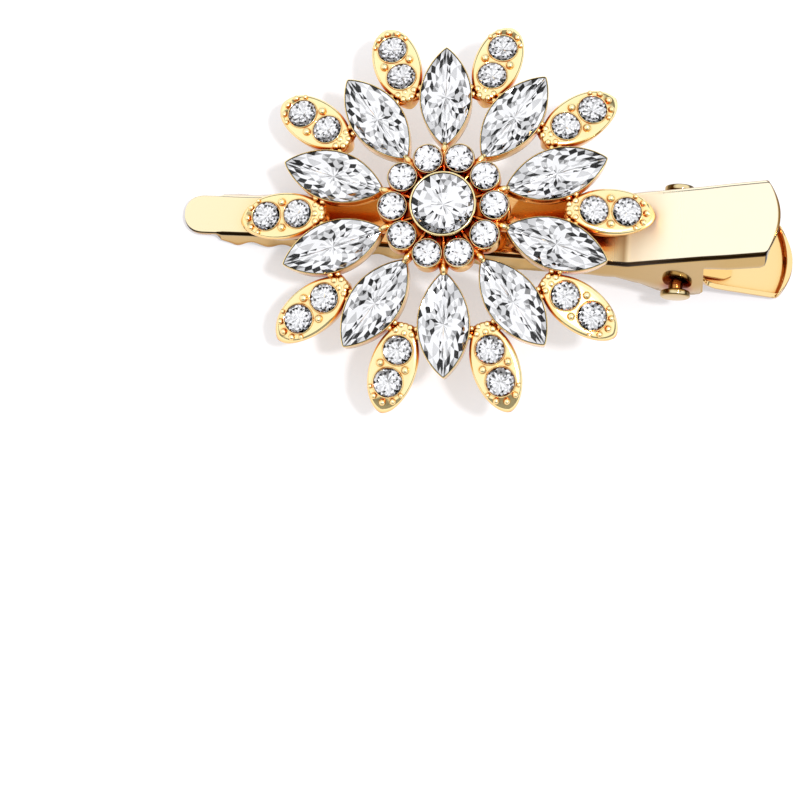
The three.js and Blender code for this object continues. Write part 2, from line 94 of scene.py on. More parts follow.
def gold(name, facing_shade, corner_shade, reach, rough=(0.05, 0.12), bump=0.02, scale=900.0, bend_shade=None, end=None, satin=0.0):
    """Plated metal. The facing ramp is painted shade by how far a face looks up, darker on faces turned sideways or
    down; the corner ramp is painted shade, warmer and deeper in corners by ambient occlusion; the bend and end ramps
    paint dark bands by the normal's Y and X.
    """
    m = bpy.data.materials.new(name)
    m.use_nodes = True
    nt = m.node_tree
    b = nt.nodes["Principled BSDF"]
    b.inputs["Metallic"].default_value = 1.0
    tc = nt.nodes.new("ShaderNodeTexCoord")
    sep = nt.nodes.new("ShaderNodeSeparateXYZ")
    nt.links.new(tc.outputs["Normal"], sep.inputs["Vector"])
    # ambient occlusion feeds the corner ramp: painted shade, deeper and warmer in corners, with a little noise for
    # random tone
    ao = nt.nodes.new("ShaderNodeAmbientOcclusion")
    ao.samples = 8
    ao.inputs["Distance"].default_value = reach * 0.001
    n1 = nt.nodes.new("ShaderNodeTexNoise")
    n1.inputs["Scale"].default_value = scale * 0.12
    n1.inputs["Detail"].default_value = 3
    nt.links.new(tc.outputs["Object"], n1.inputs["Vector"])
    ad = nt.nodes.new("ShaderNodeMath")
    ad.operation = "MULTIPLY_ADD"
    nt.links.new(n1.outputs["Fac"], ad.inputs[0])
    ad.inputs[1].default_value = 0.08
    nt.links.new(ao.outputs["AO"], ad.inputs[2])
    tail = None
    corner_shade_fac = ad.outputs[0]
    if satin:                                   # 0 on the jaw, 1 on the thumb end
        sp_ = nt.nodes.new("ShaderNodeSeparateXYZ")
        nt.links.new(tc.outputs["Object"], sp_.inputs["Vector"])
        tm = nt.nodes.new("ShaderNodeMapRange")
        tm.inputs["From Min"].default_value = 0.0135
        tm.inputs["From Max"].default_value = 0.0165
        nt.links.new(sp_.outputs["X"], tm.inputs["Value"])
        tail = tm.outputs["Result"]
        # on upward faces of the thumb end the corner factor is raised, lifting the painted corner shade so those faces
        # read lighter
        top = nt.nodes.new("ShaderNodeMath")
        top.operation = "MULTIPLY"
        up = nt.nodes.new("ShaderNodeMath")
        up.operation = "GREATER_THAN"
        nt.links.new(sep.outputs["Z"], up.inputs[0])
        up.inputs[1].default_value = 0.35
        nt.links.new(tail, top.inputs[0])
        nt.links.new(up.outputs[0], top.inputs[1])
        ad2 = nt.nodes.new("ShaderNodeMath")
        ad2.operation = "MULTIPLY_ADD"
        nt.links.new(top.outputs[0], ad2.inputs[0])
        ad2.inputs[1].default_value = 0.42
        nt.links.new(ad.outputs[0], ad2.inputs[2])
        corner_shade_fac = ad2.outputs[0]
    # base colour: the facing ramp (painted shade by face direction) times the corner ramp (painted shade in corners)
    mx = nt.nodes.new("ShaderNodeMix")
    mx.data_type = "RGBA"
    mx.blend_type = "MULTIPLY"
    mx.inputs[0].default_value = 1.0
    nt.links.new(ramp(nt, sep.outputs["Z"], facing_shade), mx.inputs[6])
    nt.links.new(ramp(nt, corner_shade_fac, corner_shade), mx.inputs[7])
    colour = mx.outputs[2]
    # painted shade: dark bands picked by the normal, a near-black one on the bends of the -Y side (by Y) and a dark
    # brown one at the thumb end's edge (by X, limited to the thumb end's upward faces when satin is set); both stand in
    # for dark reflections
    for stops, axis, sign, off in ((bend_shade, "Y", -1.0, 0.0), (end, "X", 0.5, 0.5)):
        if stops:
            sg = nt.nodes.new("ShaderNodeMath")
            sg.operation = "MULTIPLY_ADD"
            nt.links.new(sep.outputs[axis], sg.inputs[0])
            sg.inputs[1].default_value = sign
            sg.inputs[2].default_value = off
            m2 = nt.nodes.new("ShaderNodeMix")
            m2.data_type = "RGBA"
            m2.blend_type = "MULTIPLY"
            m2.inputs[0].default_value = 1.0
            if axis == "X" and tail:
                nt.links.new(top.outputs[0], m2.inputs[0])
            nt.links.new(colour, m2.inputs[6])
            nt.links.new(ramp(nt, sg.outputs[0], stops), m2.inputs[7])
            colour = m2.outputs[2]
    nt.links.new(colour, b.inputs["Base Color"])
    n2 = nt.nodes.new("ShaderNodeTexNoise")
    n2.inputs["Scale"].default_value = scale * 0.5
    n2.inputs["Detail"].default_value = 4
    nt.links.new(tc.outputs["Object"], n2.inputs["Vector"])
    mr = nt.nodes.new("ShaderNodeMapRange")
    mr.inputs["From Min"].default_value = 0.3
    mr.inputs["From Max"].default_value = 0.7
    mr.inputs["To Min"].default_value = rough[0]
    mr.inputs["To Max"].default_value = rough[1]
    nt.links.new(n2.outputs["Fac"], mr.inputs["Value"])
    rough_out = mr.outputs["Result"]
    if satin:                                   # broad flat faces are satin, bends and folds bright
        ab = nt.nodes.new("ShaderNodeMath")
        ab.operation = "ABSOLUTE"
        nt.links.new(sep.outputs["Y"], ab.inputs[0])
        ms = nt.nodes.new("ShaderNodeMapRange")
        ms.inputs["From Min"].default_value = 0.05
        ms.inputs["From Max"].default_value = 0.20
        ms.inputs["To Min"].default_value = satin
        ms.inputs["To Max"].default_value = 0.0
        nt.links.new(ab.outputs[0], ms.inputs["Value"])
        sm = nt.nodes.new("ShaderNodeMath")
        sm.operation = "MULTIPLY_ADD"
        nt.links.new(tail, sm.inputs[0])
        nt.links.new(ms.outputs["Result"], sm.inputs[1])
        nt.links.new(rough_out, sm.inputs[2])
        rough_out = sm.outputs[0]
        pm = nt.nodes.new("ShaderNodeMapRange")
        pm.inputs["From Min"].default_value = 0.0185
        pm.inputs["From Max"].default_value = 0.0235
        pm.inputs["To Min"].default_value = 1.0
        pm.inputs["To Max"].default_value = 0.0
        nt.links.new(sp_.outputs["X"], pm.inputs["Value"])
        pf = nt.nodes.new("ShaderNodeMath")
        pf.operation = "MULTIPLY"
        nt.links.new(pm.outputs["Result"], pf.inputs[0])
        nt.links.new(top.outputs[0], pf.inputs[1])
        pr = nt.nodes.new("ShaderNodeMath")
        pr.operation = "MULTIPLY_ADD"
        nt.links.new(pf.outputs[0], pr.inputs[0])
        pr.inputs[1].default_value = 0.28
        nt.links.new(rough_out, pr.inputs[2])
        rough_out = pr.outputs[0]
        pk = nt.nodes.new("ShaderNodeMath")
        pk.operation = "MULTIPLY_ADD"
        nt.links.new(pf.outputs[0], pk.inputs[0])
        pk.inputs[1].default_value = -0.6
        pk.inputs[2].default_value = 1.0
        nt.links.new(pk.outputs[0], b.inputs["Metallic"])
    nt.links.new(rough_out, b.inputs["Roughness"])
    if bump:
        n3 = nt.nodes.new("ShaderNodeTexNoise")
        n3.inputs["Scale"].default_value = scale * 0.35
        n3.inputs["Detail"].default_value = 2
        nt.links.new(tc.outputs["Object"], n3.inputs["Vector"])
        bp = nt.nodes.new("ShaderNodeBump")
        bp.inputs["Strength"].default_value = bump
        bp.inputs["Distance"].default_value = 0.0002
        nt.links.new(n3.outputs["Fac"], bp.inputs["Height"])
        nt.links.new(bp.outputs["Normal"], b.inputs["Normal"])
    return m


# Painted shade ramps: the first darkens and warms corners by ambient occlusion, the second paints a near-black band on
# the -Y side bends, the third a dark brown edge at the thumb end.
PAINTED_CORNER_SHADE = [(0.0, (0.36, 0.060, 0.008)), (0.35, (0.58, 0.165, 0.035)), (0.58, (0.88, 0.56, 0.28)), (0.78, (1.0, 0.93, 0.80)), (0.98, (1.0, 1.0, 1.0))]
PAINTED_BEND_SHADE = [(0.0, (1, 1, 1)), (0.20, (1, 1, 1)), (0.29, (0.03, 0.017, 0.007)), (0.82, (0.03, 0.017, 0.007)), (0.93, (1, 1, 1)), (1.0, (1, 1, 1))]
PAINTED_END_SHADE = [(0.0, (1, 1, 1)), (0.27, (1, 1, 1)), (0.38, (0.26, 0.15, 0.06)), (1.0, (0.22, 0.13, 0.05))]
# Upper lever: the facing ramp is painted shade, dark tan on the side flanges and pale on the top plate; corners get
# painted shade, plus the two painted dark bands.
MAT_PLATE = gold("lever_gold_polished", [(0.0, (0.48, 0.30, 0.095)), (0.30, (0.52, 0.34, 0.125)), (0.62, (1.0, 0.90, 0.66)), (0.82, (1.0, 0.92, 0.72)), (0.93, (1.0, 0.88, 0.58))], PAINTED_CORNER_SHADE, 8.0, (0.06, 0.12), 0.012, 900.0, PAINTED_BEND_SHADE, PAINTED_END_SHADE, 0.12)
# Lower lever: the facing ramp is painted shade, brown on faces turned sideways or down and deep gold on top; corners
# get painted shade.
MAT_LOW = gold("lower_lever_gold", [(0.0, (0.56, 0.37, 0.15)), (0.35, (0.62, 0.41, 0.17)), (0.62, (0.90, 0.68, 0.32)), (0.9, (0.92, 0.70, 0.34))], PAINTED_CORNER_SHADE, 8.0, (0.07, 0.14), 0.012, 900.0)
# Pin: the facing ramp paints a near-black band on faces turned partly up, a painted dark reflection, with brown on the
# sides; corners get painted shade.
MAT_PIN = gold("pin_gold_polished", [(0.0, (0.62, 0.44, 0.20)), (0.4, (0.42, 0.28, 0.11)), (0.55, (0.10, 0.065, 0.02)), (0.78, (0.12, 0.08, 0.03)), (0.93, (0.80, 0.66, 0.38))], PAINTED_CORNER_SHADE, 1.5, (0.05, 0.12), 0.02, 1500)
# Spring: the facing ramp is painted shade, a little deeper on faces turned sideways or down; corners get painted shade.
MAT_SPRING = gold("spring_gold_dark", [(0.0, (0.80, 0.46, 0.14)), (1.0, (0.95, 0.62, 0.24))], PAINTED_CORNER_SHADE, 4.0, (0.14, 0.24), 0.04)
# Casting: the facing ramp is painted shade, more orange on faces turned sideways or down; corners get painted shade.
MAT_CAST = gold("casting_gold_polished", [(0.0, (0.84, 0.50, 0.17)), (0.35, (0.90, 0.58, 0.24)), (0.75, (1.0, 0.86, 0.46)), (1.0, (1.0, 0.88, 0.50))], PAINTED_CORNER_SHADE, 2.2, (0.08, 0.16), 0.05, 1100)


def crystal(name, tint=(0.985, 0.99, 1.0)):
    m = bpy.data.materials.new(name)
    m.use_nodes = True
    b = m.node_tree.nodes["Principled BSDF"]
    b.inputs["Transmission Weight"].default_value = 1.0
    b.inputs["IOR"].default_value = 1.2
    b.inputs["Roughness"].default_value = 0.0
    nt = m.node_tree
    tc = nt.nodes.new("ShaderNodeTexCoord")
    n1 = nt.nodes.new("ShaderNodeTexNoise")
    n1.inputs["Scale"].default_value = 60
    nt.links.new(tc.outputs["Object"], n1.inputs["Vector"])
    r1 = nt.nodes.new("ShaderNodeValToRGB")
    r1.color_ramp.elements[0].color = (*[c * 0.985 for c in tint], 1)
    r1.color_ramp.elements[1].color = (*tint, 1)
    nt.links.new(n1.outputs["Fac"], r1.inputs["Fac"])
    nt.links.new(r1.outputs["Color"], b.inputs["Base Color"])
    return m


def foil(name, lo, hi):
    m = bpy.data.materials.new(name)
    m.use_nodes = True
    nt = m.node_tree
    b = nt.nodes["Principled BSDF"]
    b.inputs["Metallic"].default_value = 1.0
    b.inputs["Roughness"].default_value = 0.02
    tc = nt.nodes.new("ShaderNodeTexCoord")
    n1 = nt.nodes.new("ShaderNodeTexNoise")
    n1.inputs["Scale"].default_value = 220
    nt.links.new(tc.outputs["Object"], n1.inputs["Vector"])
    r1 = nt.nodes.new("ShaderNodeValToRGB")
    r1.color_ramp.elements[0].position = 0.3
    r1.color_ramp.elements[0].color = (lo, lo, lo * 1.02, 1)
    r1.color_ramp.elements[1].position = 0.7
    r1.color_ramp.elements[1].color = (hi, hi, min(1.0, hi * 1.02), 1)
    nt.links.new(n1.outputs["Fac"], r1.inputs["Fac"])
    nt.links.new(r1.outputs["Color"], b.inputs["Base Color"])
    return m


MAT_GLASS = crystal("crystal_clear")
# Four copies of the silver foil backing, bright to near black: the grey and black copies are painted facet shade,
# standing in for the dark reflections that make cut stones sparkle.
MAT_FOIL_PAINTED_SHADES = [foil("crystal_foil_bright", 0.93, 0.98), foil("crystal_foil_painted_light_grey", 0.62, 0.76), foil("crystal_foil_painted_mid_grey", 0.26, 0.38), foil("crystal_foil_painted_black", 0.02, 0.05)]


# ------------------------------------------------------------ mesh tools ----
class Build:
    """Collects closed shells in the clip's frame (mm)."""

    def __init__(self):
        self.v, self.f, self.mi, self.sm = [], [], [], []

    def add(self, verts, faces, mat=0, smooth=True):
        base = len(self.v)
        self.v.extend(np.asarray(verts, float).reshape(-1, 3).tolist())
        for k, f in enumerate(faces):
            self.f.append([base + i for i in f])
            self.mi.append(mat if isinstance(mat, int) else mat[k])
            self.sm.append(smooth)
        return self

    def obj(self, name, mats, body=None, slot=None, sharp=35.0):
        me = bpy.data.meshes.new(name)
        me.from_pydata([tuple(p) for p in row(self.v)], [], self.f)
        for m in mats:
            me.materials.append(m)
        me.polygons.foreach_set("material_index", self.mi)
        me.polygons.foreach_set("use_smooth", self.sm)
        me.update()
        bm = bmesh.new()
        bm.from_mesh(me)
        bmesh.ops.recalc_face_normals(bm, faces=bm.faces)
        lim = math.radians(sharp)
        for e in bm.edges:
            if len(e.link_faces) == 2 and e.calc_face_angle(0) > lim:
                e.smooth = False
        bm.to_mesh(me)
        bm.free()
        o = bpy.data.objects.new(name, me)
        bpy.context.scene.collection.objects.link(o)
        if body:
            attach(o, body)
        return o


def loft(rings, closed_ends=True):
    """Faces of a skin over rings of equal count; each ring is a closed loop."""
    rings = [np.asarray(r, float) for r in rings]
    n = len(rings[0])
    v = np.concatenate(rings)
    f = []
    for k in range(len(rings) - 1):
        for i in range(n):
            a, b = k * n + i, k * n + (i + 1) % n
            f.append([a, b, b + n, a + n])
    if closed_ends:
        f.append(list(range(n))[::-1])
        f.append([(len(rings) - 1) * n + i for i in range(n)])
    return v, f


def lathe(profile, n, axis="z"):
    """Closed body of revolution; the profile starts and ends on the axis."""
    v, f, rows = [], [], []
    for r, z in profile:
        if r < 1e-6:
            rows.append([len(v)])
            v.append((0, 0, z))
        else:
            rows.append(list(range(len(v), len(v) + n)))
            v += [(r * math.cos(2 * math.pi * i / n), r * math.sin(2 * math.pi * i / n), z) for i in range(n)]
    for a, b in zip(rows[:-1], rows[1:]):
        for i in range(n):
            j = (i + 1) % n
            if len(a) == 1:
                f.append([a[0], b[j], b[i]])
            elif len(b) == 1:
                f.append([a[i], a[j], b[0]])
            else:
                f.append([a[i], a[j], b[j], b[i]])
    v = np.array(v)
    if axis == "y":
        v = v[:, [0, 2, 1]]
    return v, f


def ring_lathe(profile, n):
    """Torus-like body: a closed profile (r, z) swept round Z."""
    v, f = [], []
    m = len(profile)
    for i in range(n):
        a = 2 * math.pi * i / n
        v += [(r * math.cos(a), r * math.sin(a), z) for r, z in profile]
    for i in range(n):
        for k in range(m):
            a, b = i * m + k, i * m + (k + 1) % m
            c, d = ((i + 1) % n) * m + k, ((i + 1) % n) * m + (k + 1) % m
            f.append([a, b, d, c])
    return np.array(v), f


def bead(c, r, seg=14, rings=8, squash=1.0):
    prof = [(0, -r * squash)] + [(r * math.sin(math.pi * k / rings), -r * squash * math.cos(math.pi * k / rings)) for k in range(1, rings)] + [(0, r * squash)]
    v, f = lathe(prof, seg)
    return v + np.array(c), f


def tab(t, x):
    return float(np.interp(x, [a for a, _ in t], [b for _, b in t]))


# ------------------------------------------------------- sheet-metal levers ----
SHEET = 0.65


def section(w, drop, phi, tv, crown, R=0.8):
    """Half section of a folded sheet, outer skin then inner skin, as (y, n)."""
    a = math.radians(phi)
    c, s = math.cos(a), math.sin(a)
    L = drop / s
    tf = min(SHEET, w * 0.45)
    R = min(R, max(0.12, 0.45 * L), w * 0.35)
    d = R * math.tan(a / 2)
    out = [(w - d) * k / 8 for k in range(0, 8)]
    pts = [(y, -crown * (y / w) ** 2) for y in out]
    base = -crown * ((w - d) / w) ** 2
    for k in range(9):
        q = math.pi / 2 - a * k / 8
        pts.append((w - d + R * math.cos(q), base - R + R * math.sin(q)))
    ex, en = w + L * c, -L * s
    e = min(0.16, L * 0.2)
    x0, n0 = pts[16]
    tx = min(0.25, 0.2 * math.hypot(ex - x0, en - n0))
    pts.append((x0 + c * tx, n0 - s * tx))
    for k in (0.35, 0.7):
        pts.append((x0 + (ex - e * c - x0) * k, n0 + (en + e * s - n0) * k))
    # rounded edge: outer corner, end face, inner corner
    ix, iz = ex - tf * s, en - tf * c
    pts += [(ex - e * c, en + e * s), (ex - 0.3 * e * c - 0.3 * e * s, en + 0.3 * e * s - 0.3 * e * c * 0), (ex - e * s, en - e * c),
            (ix + e * s, iz + e * c), (ix + 0.3 * e * s - 0.3 * e * c, iz + 0.3 * e * s), (ix - e * c, iz + e * s)]
    # inner skin back to the middle
    cy, cn = w + tv * c / s - tf / s, base - tv
    r = max(0.08, R - tf)
    di = r * math.tan(a / 2)
    e2 = (cy + di * c, cn - di * s)
    lim = (ix - e * c, iz + e * s)
    if e2[1] < lim[1] + 0.01:           # a fold too short for its fillet
        e2 = (lim[0] + (cy - lim[0]) * 0.3, lim[1] + (cn - lim[1]) * 0.3)
        di = 0.03
    for k in (0.4, 0.8):
        pts.append((lim[0] + (e2[0] - lim[0]) * k, lim[1] + (e2[1] - lim[1]) * k))
    for k in range(5):
        t = k / 4
        p0, p1, p2 = e2, (cy, cn), (cy - di, cn)
        pts.append(((1 - t) ** 2 * p0[0] + 2 * t * (1 - t) * p1[0] + t * t * p2[0], (1 - t) ** 2 * p0[1] + 2 * t * (1 - t) * p1[1] + t * t * p2[1]))
    y0 = cy - di
    for k in range(1, 7):
        y = y0 * (1 - k / 6)
        pts.append((y, cn + (crown * ((w - d) / w) ** 2 - crown * (y / w) ** 2)))
    return pts


def sheet_mesh(stations, sgn):
    rings = []
    for st in stations:
        half = section(st["w"], st["drop"], st["phi"], st["tv"], st["crown"], st.get("R", 0.8))
        full = half[:-1] + [half[-1]] + [(-y, n) for y, n in half[1:-1]][::-1]
        # order: start at the middle of the outer skin, out along +Y, round, back
        ring = []
        for y, n in full:
            k = st["bulge"] * (1 - min(1.0, (y / st["w"]) ** 2))
            ring.append((st["x"] + k, y, st["z"] + sgn * n + k * st["slope"]))
        rings.append(ring)
    return loft(rings)


def dense(keys, step):
    """Stations: the key places and even steps between them."""
    out = []
    for a, b in zip(keys[:-1], keys[1:]):
        m = max(1, int(math.ceil((b - a) / step)))
        out += [a + (b - a) * i / m for i in range(m)]
    return out + [keys[-1]]


def round_tip(x, x0, r, w):
    t = min(1.0, max(0.0, (x - x0) / r))
    return w * (1 - (1 - t) ** 2.3) ** (1 / 2.3)


def corner(x, x1, r):
    return 0.0 if x < x1 - r else r * (1 - math.sqrt(max(0.0, 1 - ((x - x1 + r) / r) ** 2 * 0.96)))


TIP_X, KINK_X, TAIL_X, SLOPE, BULGE = -34.4, 23.2, 41.0, 0.478, 1.43
JAW_W, BODY_W, TOOTH = 2.54, 4.83, 4.15


def plate_z(x):
    if x < KINK_X - 0.6:
        return 0.0
    if x > KINK_X + 0.6:
        return (x - KINK_X) * SLOPE
    return SLOPE * (x - KINK_X + 0.6) ** 2 / 2.4


EDGE = [(-30.2, -0.7), (-29.9, -1.1), (-29.6, -1.4), (-28.5, -1.9), (-27.5, -2.05), (-20, -2.05), (8, -2.9), (18.4, -3.57),
        (20.2, -3.95), (21.6, -4.0), (24.2, -5.5), (24.8, -5.75), (27, -7.9), (28.2, -8.2), (30.6, -8.2), (31.6, -7.9), (32.5, -7.2), (32.85, -6.4), (33.0, 1.45),
        (36, 2.85), (40.1, 4.75), (40.7, 5.4), (41.0, 6.6)]
PHI = [(-30.2, 88), (-29.6, 68), (8, 70), (18.4, 78), (24.8, 82), (27, 83), (32.85, 82), (33.0, 81.5), (36, 76), (41, 75)]


def edge_top(x):
    z = tab(EDGE, x)
    if -28.6 < x < 9:
        z += 0.36 * math.cos(2 * math.pi * (x + 25.6) / TOOTH) * min(1, (x + 28.6) / 0.8)
    return z


def upper_lever():
    xs = [TIP_X + d for d in (0.03, 0.06, 0.12, 0.22, 0.35, 0.5, 0.7, 0.9, 1.15, 1.4, 1.7, 2.0, 2.3, 2.6, 3.2)]
    xs += dense([-30.5, -30.2, -29.9, -29.6, -28.6], 0.12)
    xs += dense([-28.4, 9.2], 0.3)
    xs += dense([9.8, 18.4, 20.2, 21.6, KINK_X - 0.6], 0.6)
    xs += dense([KINK_X - 0.5, KINK_X + 0.6, 24.8, 27, 28.2, 30.6, 31.6, 32.5, 32.85, 32.9, 32.95, 33.0], 0.25)
    xs += dense([33.3, 36, 40.1], 0.35) + dense([40.2, 40.7], 0.1) + [40.75, 40.79, 40.83, 40.87, 40.9, 40.93, 40.955, 40.975, 40.99, 41.0]
    st = []
    for x in sorted(set(round(v, 4) for v in xs)):
        z = plate_z(x)
        sl = 0 if x < KINK_X else SLOPE
        tv = SHEET * math.hypot(1, sl)
        w = round_tip(x, TIP_X, 2.6, JAW_W) if x < TIP_X + 2.6 else tab([(-25.5, JAW_W), (KINK_X, BODY_W), (TAIL_X, 4.85)], x) - corner(x, TAIL_X, 0.6)
        drop = max(tv + 0.02, z - edge_top(x))
        t_ = min(1.0, max(0.0, (x - TAIL_X + 0.30) / 0.30))
        roll = 0.36 * (1 - math.sqrt(max(0.0, 1 - 0.985 * t_ * t_)))
        z, tv, drop = z - roll, tv - roll, drop - roll
        st.append(dict(x=x, z=z, w=w, drop=drop, phi=88 if x < -30.2 else tab(PHI, x), tv=tv, crown=0.05 * min(1, w / 4), R=0.25 if x < -30.2 else tab([(-30.2, 0.25), (-29.4, 0.7), (8, 0.72), (18, 0.78)], x),
                       bulge=BULGE * max(0.0, (x - 36) / 5) ** 2, slope=SLOPE))
    v, f = sheet_mesh(st, 1)
    b = Build().add(v, f)
    return b


LOW_TAIL_X = 42.9
LOWZ = [(-34.3, -1.37), (6, -1.37), (8, -1.45), (10, -1.75), (12, -2.2), (15, -3.1), (18, -4.1), (22, -5.6), (26, -7.15), (28, -8.05), (29.35, -8.65), (LOW_TAIL_X, -8.65 - 0.496 * (LOW_TAIL_X - 29.35))]
LOWW = [(-31, 2.45), (-30.4, 1.85), (-25.5, 1.85), (8, 3.2), (18, 3.95), (22, 4.3), (26, 4.5), (32.9, 4.5), (33.5, 4.6), (34.2, 4.8), (36, 4.84), (LOW_TAIL_X, 4.86)]
LOWTOP = [(8, 0.66), (13, 0.7), (16, 1.3), (20, 2.2), (23.5, 3.1), (26, 4.2), (27.2, 5.0), (28.4, 5.5), (29.4, 5.65), (30.6, 5.5), (31.6, 4.9), (32.4, 3.6), (32.9, 2.4), (33.4, 1.3), (36, 1.25), (LOW_TAIL_X, 1.25)]


def lower_lever():
    xs = [-34.3 + d for d in (0.03, 0.06, 0.12, 0.22, 0.35, 0.5, 0.7, 0.9, 1.15, 1.4, 1.7, 2.0, 2.3, 2.6)]
    xs += dense([-31.2, -31, -30.4], 0.1) + dense([-29.5, 6], 1.5) + dense([6.5, 8, 10, 12, 15, 18, 22, 26, 28, 29.35, 31.6, 33.6], 0.35)
    xs += dense([34, 36, 42.0], 0.4) + dense([42.1, 42.45], 0.05) + dense([42.5, LOW_TAIL_X], 0.05)
    st = []
    for x in sorted(set(round(v, 4) for v in xs)):
        sl = (tab(LOWZ, x + 0.4) - tab(LOWZ, x - 0.4)) / 0.8
        z = (tab(LOWZ, x - 0.4) + 2 * tab(LOWZ, x) + tab(LOWZ, x + 0.4)) / 4 if x < 42.4 else tab(LOWZ, x)
        tv = SHEET * math.hypot(1, max(-0.5, sl))
        top = max(tv + 0.02, tab(LOWTOP, x))
        t = max(0.0, min(1.0, (x - 42.2) / 0.2))
        lip = t * t * (3 - 2 * t)
        tv += lip * 0.85
        u = max(0.0, (x - 42.4) / 0.5)
        up = 0.5 * (1 - math.sqrt(max(0.0, 1 - u * u * 0.98)))
        z += up
        tv -= up
        top = max(top, tv + 0.02 + up) - up
        z += 0.06 * max(0.0, min(1.0, (x - 34) / 3))
        w = round_tip(x, -34.3, 2.6, 2.45) if x < -34.3 + 2.6 else tab(LOWW, x) - corner(x, LOW_TAIL_X, 0.95)
        st.append(dict(x=x, z=z, w=w, drop=max(top, tv + 0.02), phi=88 if x < 8 else (84 if x > 33 else 88.5), tv=tv, crown=0.0, R=0.2 if x < 8 else tab([(8, 0.2), (12, 0.7)], x),
                       bulge=BULGE * max(0.0, (x - 36) / (LOW_TAIL_X - 36)) ** 2, slope=-0.496))
    v, f = sheet_mesh(st, -1)
    return Build().add(v, f)


top = upper_lever().obj("top_lever_sheet", [MAT_PLATE], "upper_half", "lever_gold", 40)
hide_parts("top_lever")
low = lower_lever().obj("lower_lever_sheet", [MAT_LOW], "lower_half", "lever_gold", 40)
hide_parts("lower_lever")

# ------------------------------------------------------------------ pin ----
h, t = PIN_HALF, HEAD_T
prof = [(0, -h), (HEAD_R - 0.34, -h), (HEAD_R - 0.22, -h + 0.02), (HEAD_R - 0.1, -h + 0.07), (HEAD_R - 0.03, -h + 0.14), (HEAD_R, -h + 0.24),
        (HEAD_R, -h + t - 0.24), (HEAD_R - 0.03, -h + t - 0.14), (HEAD_R - 0.1, -h + t - 0.06), (HEAD_R - 0.22, -h + t),
        (PIN_R + 0.1, -h + t), (PIN_R, -h + t + 0.08)]
prof = prof + [(r, -z) for r, z in prof[::-1]]
v, f = lathe(prof, 64, "y")
pin = Build().add(v + np.array([PIN_X, 0, PIN_Z]), f).obj("hinge_pin_turned", [MAT_PIN], "upper_half", "pin_gold", 50)
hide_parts("hinge_pin")

# --------------------------------------------------------------- spring ----
SP_T, SP_R, SP_HALF = 0.45, 1.35, 3.6
UP, LO = (36.2, 4.95), (36.3, -11.05)
aU, aL = math.atan2(UP[1] - PIN_Z, UP[0] - PIN_X), math.atan2(LO[1] - PIN_Z, LO[0] - PIN_X)
dU, dL = math.hypot(UP[0] - PIN_X, UP[1] - PIN_Z), math.hypot(LO[0] - PIN_X, LO[1] - PIN_Z)
t0, t1 = aU + math.acos(SP_R / dU), aL - math.acos(SP_R / dL) + 2 * math.pi
cl = []
a0 = (PIN_X + SP_R * math.cos(t0), PIN_Z + SP_R * math.sin(t0))
a1 = (PIN_X + SP_R * math.cos(t1), PIN_Z + SP_R * math.sin(t1))
for k in range(14):
    cl.append((UP[0] + (a0[0] - UP[0]) * k / 14, UP[1] + (a0[1] - UP[1]) * k / 14))
for k in range(25):
    q = t0 + (t1 - t0) * k / 24
    cl.append((PIN_X + SP_R * math.cos(q), PIN_Z + SP_R * math.sin(q)))
for k in range(1, 13):
    cl.append((a1[0] + (LO[0] - a1[0]) * k / 12, a1[1] + (LO[1] - a1[1]) * k / 12))
rings = []
for i, p in enumerate(cl):
    a, b = cl[max(0, i - 1)], cl[min(len(cl) - 1, i + 1)]
    l = math.hypot(b[0] - a[0], b[1] - a[1])
    nx, nz = -(b[1] - a[1]) / l, (b[0] - a[0]) / l
    hw = SP_HALF - (0.5 if i in (0, len(cl) - 1) else 0.12 if i in (1, len(cl) - 2) else 0)
    e, q = 0.1, SP_T / 2
    sec = [(-hw + e, q), (hw - e, q), (hw, q - e), (hw, -q + e), (hw - e, -q), (-hw + e, -q), (-hw, -q + e), (-hw, q - e)]
    rings.append([(p[0] + nx * n, y, p[1] + nz * n) for y, n in sec])
v, f = loft(rings)
spring = Build().add(v, f).obj("flat_spring_strip", [MAT_SPRING], None, "spring_gold", 40)
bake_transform(spring)
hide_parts("flat_spring")

# ------------------------------------------------------- flower casting ----
def outline_nav(n, grow, p=NAV_P, L=NAV_LEN, W=NAV_W):
    """Pointed oval outline, even in angle parameter; grow pushes it outward."""
    pts = []
    for i in range(n):
        a = 2 * math.pi * i / n
        t = math.cos(a)
        y = math.copysign((W / 2) * max(0.0, 1 - t * t) ** p, math.sin(a)) if abs(math.sin(a)) > 1e-9 else 0.0
        pts.append((t * L / 2, y))
    pts = np.array(pts)
    if grow:
        nxt, prv = np.roll(pts, -1, 0), np.roll(pts, 1, 0)
        tan = nxt - prv
        tan /= np.linalg.norm(tan, axis=1, keepdims=True)
        nrm = np.stack([tan[:, 1], -tan[:, 0]], 1)
        pts = pts + nrm * grow
    return pts


def shell(levels, outline, n=64):
    """Closed shell from (z, grow) levels over an outline function."""
    rings = []
    for z, g in levels:
        o = outline(n, g)
        rings.append(np.column_stack([o, np.full(len(o), z)]))
    return rings


cast = Build()


def put(v, f, r=0, z=0, tilt=0, ang=0, smooth=True):
    cast.add(place(v, r, z, tilt, ang), f, 0, smooth)


